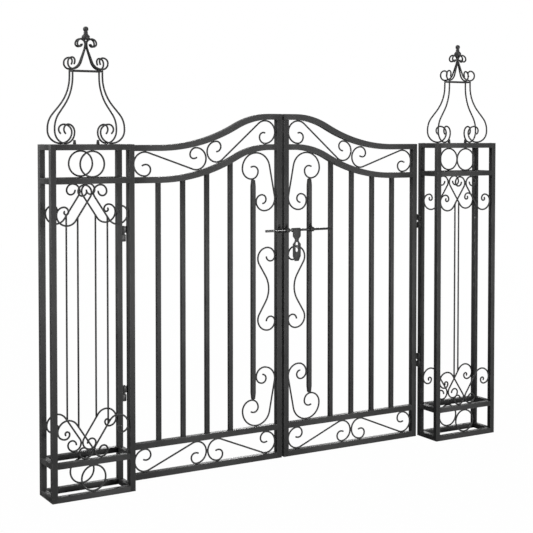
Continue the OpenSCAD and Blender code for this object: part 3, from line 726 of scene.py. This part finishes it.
def spearBar(middle, half):
    # A square bar drawn in on all four sides at both ends: full after the taper, half width tip at the ends
    taper, full = spear["taper"], leaf["bar"] / 2
    z = np.array([-half, -half + capInset, taper - half, half - taper, half - capInset, half])
    path = np.stack([np.full(6, spearX), np.full(6, leafY), middle + z], 1)
    stations = [-half, taper - half, half - taper, half]
    widths = (np.interp(z, stations, [spear["tip"], full, full, spear["tip"]]) / full)[:, None]
    return carried(path, widths * rightAxis, widths * backAxis, squareSection(full, leaf["cornerRadius"]))


sideTop = lowZ + leaf["rise"] - sweepStep - leaf["tube"] / 2
bigX, bigR = spearX + leafRods["bigShift"], leafRods["bigRadius"]
innerR = sweepR2 - leaf["tube"] / 2
# The big lobe touches the lower swept rail from below
bigDrop = innerR - math.sqrt((innerR - clear - bigR) ** 2 - (sweepX1 - bigX) ** 2)
sideMid = (sideTop - bigDrop + baseTop + clear + bigR) / 2
bigLobe = [[bigX, sideTop - bigDrop], bigR, -1, 270, curls["big"]]
smallX, smallZ = innerX1 - clear - leafRods["smallRadius"], sideMid + leafRods["smallRise"]
smallLobe = [[smallX, smallZ], leafRods["smallRadius"], -1, 180, curls["small"]]
tipReach = bigLobe[0][1] - curls["big"][0] * bigR - clear


def leafScrolls(place):
    # The leaf's rods as drawn for the left leaf; place turns an origin and a direction into a side's own
    def rod(run, up=1, base=0.0):
        origin, right = place([0.0, leafY, base], [1.0, 0, 0])
        return bentRod(*run, origin, right, [0, 0, float(up)])

    def bandR(x):
        # Radius of a lobe that fills the band, with more room where the rails slope
        slope = float(sweepSlope(x))
        seat = leafRods["slopeSeat"] if slope > leafRods["levelSlope"] else rodwork["seat"]
        return sweepStep / 2 * math.cos(math.radians(slope)) - leaf["tube"] / 2 - rodwork["radius"] - seat

    def bandLobe(x, r, side, heading, curl):
        return [[x, bandZ(x)], r, side, heading, curl]

    endR, touch = bandR(leafX0), (innerX0 + innerX1) / 2
    firstX, lastX = innerX0 + clear + endR, innerX1 - clear - endR
    lowX, highX = touch - leafRods["archLow"], touch + leafRods["archHigh"]
    arch = [scrollRun(bandLobe(firstX, endR, -1, 0, curls["archFirst"]),
                      bandLobe(lowX, bandR(lowX), 1, 180, curls["archLow"])),
            scrollRun(bandLobe(highX, bandR(highX), 1, 0, curls["archHigh"]),
                      bandLobe(lastX, endR, -1, 180, curls["archLast"]))]
    r = leaf["baseGap"] / 2 - clear
    z = leaf["lift"] + leaf["tube"] + leaf["baseGap"] / 2
    far, near = touch - innerX0 - clear - r, clear + r
    baseRun = scrollRun([[-far, 0], r, 1, 0, curls["baseFar"]], [[-near, 0], r, -1, 180, curls["baseNear"]])
    base = []
    for mirror in (1.0, -1.0):
        origin, right = place([touch, leafY, z], [mirror, 0, 0])
        base.append(bentRod(*baseRun, origin, right, upAxis))
    upper = scrollRun(bigLobe, smallLobe)
    middleR, waistR = leafRods["middleRadius"], leafRods["waistRadius"]
    middleX, middleZ = innerX1 - clear - curls["middle"][0] * middleR, sideMid + leafRods["middleRise"]
    half = scrollRun([[middleX, middleZ], middleR, 1, 0, curls["middle"]],
                     [[innerX1 - leafRods["waistInset"] - waistR, sideMid], waistR, -1, -90, []])
    sideRods = [rod(upper), rod(upper, -1, 2 * sideMid), rod(half), rod(half, -1, 2 * sideMid)]
    return [rod(run) for run in arch], base, sideRods, leafSpots(place, touch, z, far, near, endR, middleZ)


def leafSpots(place, touch, z, far, near, endR, middleZ):
    # Where the rods of a leaf are welded
    sink = weld["spotSink"]
    onBase, onBand = leaf["baseGap"] / 2 - sink, leaf["sweepGap"] / 2 - sink
    firstX, lastX = innerX0 + sink, innerX1 - sink
    spots = [[[x, z + s * onBase], weld["onRail"]]
             for x in (touch - far, touch - near, touch + near, touch + far) for s in (-1, 1)]
    spots += [[[x, z], weld["onPost"]] for x in (firstX, lastX)]
    spots.append([[touch, z], weld["betweenLobes"]])
    spots += [[[x, bandZ(x) + s * onBand], weld["onRail"]]
              for x in (innerX0 + clear + endR, innerX1 - clear - endR) for s in (-1, 1)]
    spots.append([[firstX, bandZ(firstX)], weld["onPost"]])
    spots.append([[lastX, lowZ + leaf["rise"] - sweepStep / 2], weld["onPost"]])
    for flip, start in ((1, 0), (-1, 2 * sideMid)):
        spots += [[[lastX, start + flip * h], weld["onStile"]] for h in (smallZ, middleZ)]
        spots.append([[spearX, start + flip * (tipReach + weld["tipRise"])], weld["onTip"]])
    return [[place([x, leafY, h], [1.0, 0, 0])[0], radii] for (x, h), radii in spots]


def mirroredSurface(surface):
    vertices, faces, rub = surface
    vertices = vertices.copy()
    vertices[:, 0] = gateWidth - vertices[:, 0]
    return vertices, [face[::-1] for face in faces], rub


def barBeads(x, phase):
    # Beads round the foot and the head of a bar; the head's follows the rail
    half, bead, sink = weld["barHalf"], weld["barBead"], weld["barSink"]
    foot = weldSkirt([x, leafY, baseTop + sink], half, half, 2, bead, phase)
    top = float(headHeight(x))
    vertices, faces, rub = weldSkirt([x, leafY, top - sink], half, half, 2, bead, phase + 0.4)
    vertices[:, 2] += headHeight(vertices[:, 0]) - top
    return foot, (vertices, faces, rub)


def leftPlace(origin, direction):
    return origin, direction


def rightPlace(origin, direction):
    return [gateWidth - origin[0], *origin[1:]], [-direction[0], *direction[1:]]


def asDrawn(surface):
    return surface


for side, place, sided in (("left", leftPlace, asDrawn), ("right", rightPlace, mirroredSurface)):
    body = f"{side}_leaf"
    stiles, bottoms = islandBoxes(f"{body}_stiles"), islandBoxes(f"{body}_bottom_rails")
    roundedTubes(f"{side}Stiles", f"{body}_stiles", body, stiles, leaf["cornerRadius"])
    roundedTubes(f"{side}BottomRails", f"{body}_bottom_rails", body, bottoms, leaf["cornerRadius"])
    barX = [innerX0 + k * pitch for k in range(1, leaf["bays"] - 1)]
    swept = [sweptRail(leafX0, leafX1, 0), sweptRail(innerX0, innerX1, sweepStep)]
    for part, surfaces, nodeName in (
            ("SweptRails", swept, "swept_rails"), ("Bars", [infillBar(x) for x in barX], "bars"),
            ("SpearBar", [spearBar(sideMid, tipReach - sideMid)], "spear_bar")):
        surfaces = [sided(surface) for surface in surfaces]
        makePiece(side + part, surfaces, "tube_steel", body, f"{body}_{nodeName}")
    arch, base, sideRods, spots = leafScrolls(place)
    for part, surfaces, nodeName in (
            ("ArchScrolls", arch, "arch_scrolls"), ("BaseScrolls", base, "base_scrolls"),
            ("SideScrolls", sideRods, "side_scrolls")):
        makePiece(side + part, surfaces, "wrought_rod", body, f"{body}_{nodeName}")
    softened(f"{side}Knuckles", f"{body}_knuckles", bevels["hinges"], body)
    welds = [weldSpot(centre, radii, weld["leafPhase"] * k) for k, (centre, radii) in enumerate(spots)]
    for k, x in enumerate(barX):
        welds += [sided(bead) for bead in barBeads(x, k)]
    for k, (low, high) in enumerate(bottoms):
        for x in (low[0] + weld["tubeSink"], high[0] - weld["tubeSink"]):
            welds.append(weldSkirt([x, leafY, (low[2] + high[2]) / 2], weld["leafHalf"], weld["leafHalf"],
                                   0, weld["tubeBead"], k))
    makePiece(f"{side}LeafWelds", welds, "tube_steel", body, finish=weldFinish)
print("leaves made")

softened("latchKeeper", "latch_keeper", bevels["plates"], "left_leaf")
softened("latchGuides", "latch_guides", bevels["plates"], "right_leaf")
softened("latchRod", "latch_rod", bevels["latchRod"], "latch_rod", finish=polishedFinish)
softened("latchHasp", "latch_hasp", bevels["hasp"], "latch_hasp")
# A straight wire across the slot; its ends are given from the middle and the top of the hasp's front
haspWire = {"from": [-6.5, -42.0], "to": [5.5, -51.5], "radius": 1.1, "depth": 0.4}
low, high = (fromCorner(corner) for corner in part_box("latch_hasp"))
ends = [[(low[0] + high[0]) / 2 + x, low[1] + haspWire["depth"], high[2] + z]
        for x, z in (haspWire["from"], haspWire["to"])]
makePiece("haspWire", [straightRod(*ends, haspWire["radius"])], "latch_steel", "latch_hasp")
print("latch made")

studio = {
    "floorHalf": 14.0, "floorColour": "#a8a8a8", "glowFrom": 1.2, "glowTo": 6.0,
    "floorGlowNear": 0.99, "floorGlowFar": 1.0,
    "worldFill": 0.06, "roomGleam": 0.12, "backdropGleam": 1.2, "gleamFrom": -0.2, "gleamTo": 0.6,
    "aimHeight": 0.5,
}
softboxes = {
    "keySoftbox": {"place": (-1.0, 0.1, 1.4), "power": 20.0, "size": 0.8},
    "fillSoftbox": {"place": (1.6, -3.6, 0.55), "power": 145.0, "size": 1.0},
    "topSoftbox": {"place": (0.3, 0.6, 3.0), "power": 40.0, "size": 1.4},
    "backSoftbox": {"place": (2.4, 3.2, 0.9), "power": 80.0, "size": 1.6},
}
lens = {
    "focal": 80.47, "sensor": 36.0, "shift": -0.17,
    "place": (-0.8815, -2.3882, 0.7782), "yaw": -30.450, "pitch": 1.880,
}


def seenDirectly(tree, path):
    # 1 for rays from the camera, also through glass
    return combined(tree, "MAXIMUM", path.outputs["Is Camera Ray"], path.outputs["Is Transmission Ray"])


def floorMaterial():
    # A white sweep: a matt floor that catches the object's shadow, with a glow for the camera that grows
    # away from the object until the floor and the backdrop are one white
    material, tree = newMaterial("whiteSweep")
    spot = addNode(tree, "ShaderNodeTexCoord").outputs["Object"]
    away = addNode(tree, "ShaderNodeVectorMath", {"operation": "LENGTH"}, {0: spot}).outputs["Value"]
    share = remapped(tree, away, studio["glowFrom"], studio["glowTo"],
                     studio["floorGlowNear"], studio["floorGlowFar"])
    seen = seenDirectly(tree, addNode(tree, "ShaderNodeLightPath"))
    matt = addNode(tree, "ShaderNodeBsdfDiffuse", {"Color": linear(studio["floorColour"])})
    glow = addNode(tree, "ShaderNodeEmission", {"Color": (1, 1, 1, 1), "Strength": 1.0})
    mix = addNode(tree, "ShaderNodeMixShader",
                  links={0: combined(tree, "MULTIPLY", share, seen), 1: matt.outputs[0], 2: glow.outputs[0]})
    addNode(tree, "ShaderNodeOutputMaterial", links={"Surface": mix.outputs[0]})
    return material


half = studio["floorHalf"]
floorMesh = bpy.data.meshes.new("floor")
floorCorners = [(-half, -half, 0), (half, -half, 0), (half, half, 0), (-half, half, 0)]
floorMesh.from_pydata(floorCorners, [], [(0, 1, 2, 3)])
floorMesh.materials.append(floorMaterial())
floor = bpy.data.objects.new("floor", floorMesh)
bpy.context.scene.collection.objects.link(floor)

world = bpy.data.worlds.new("studio")
bpy.context.scene.world = world
world.use_nodes = True
tree = world.node_tree
tree.nodes.clear()
path = addNode(tree, "ShaderNodeLightPath")
level = remapped(tree, seenDirectly(tree, path), 0.0, 1.0, studio["worldFill"], 1.0)
# In reflections the backdrop behind the gate is bright and the room in front of it is dim
direction = addNode(tree, "ShaderNodeTexCoord").outputs["Generated"]
heading = addNode(tree, "ShaderNodeSeparateXYZ", {}, {0: direction})
behind = remapped(tree, heading.outputs["Y"], studio["gleamFrom"], studio["gleamTo"],
                  studio["roomGleam"], studio["backdropGleam"])
gleam = combined(tree, "MULTIPLY", path.outputs["Is Glossy Ray"], behind)
sky = addNode(tree, "ShaderNodeBackground", {"Color": (1, 1, 1, 1)},
              {"Strength": combined(tree, "MAXIMUM", level, gleam)})
addNode(tree, "ShaderNodeOutputWorld", links={"Surface": sky.outputs[0]})


aim = Vector(((cadBox[0][0] + cadBox[1][0]) / 2, 0.0, studio["aimHeight"]))
for name, box in softboxes.items():
    lamp = bpy.data.lights.new(name, "AREA")
    lamp.shape, lamp.size, lamp.energy = "SQUARE", box["size"], box["power"]
    holder = bpy.data.objects.new(name, lamp)
    holder.location = box["place"]
    holder.rotation_euler = (aim - Vector(box["place"])).to_track_quat("-Z", "Y").to_euler()
    holder.visible_camera = False
    bpy.context.scene.collection.objects.link(holder)

camera = bpy.data.objects.new("camera", bpy.data.cameras.new("camera"))
camera.data.lens, camera.data.sensor_width, camera.data.shift_y = lens["focal"], lens["sensor"], lens["shift"]
camera.location = lens["place"]
camera.rotation_euler = Euler((math.radians(90 - lens["pitch"]), 0, math.radians(lens["yaw"])))
bpy.context.scene.collection.objects.link(camera)
bpy.context.scene.camera = camera
bpy.context.scene.view_settings.view_transform = "Standard"
print("studio made")
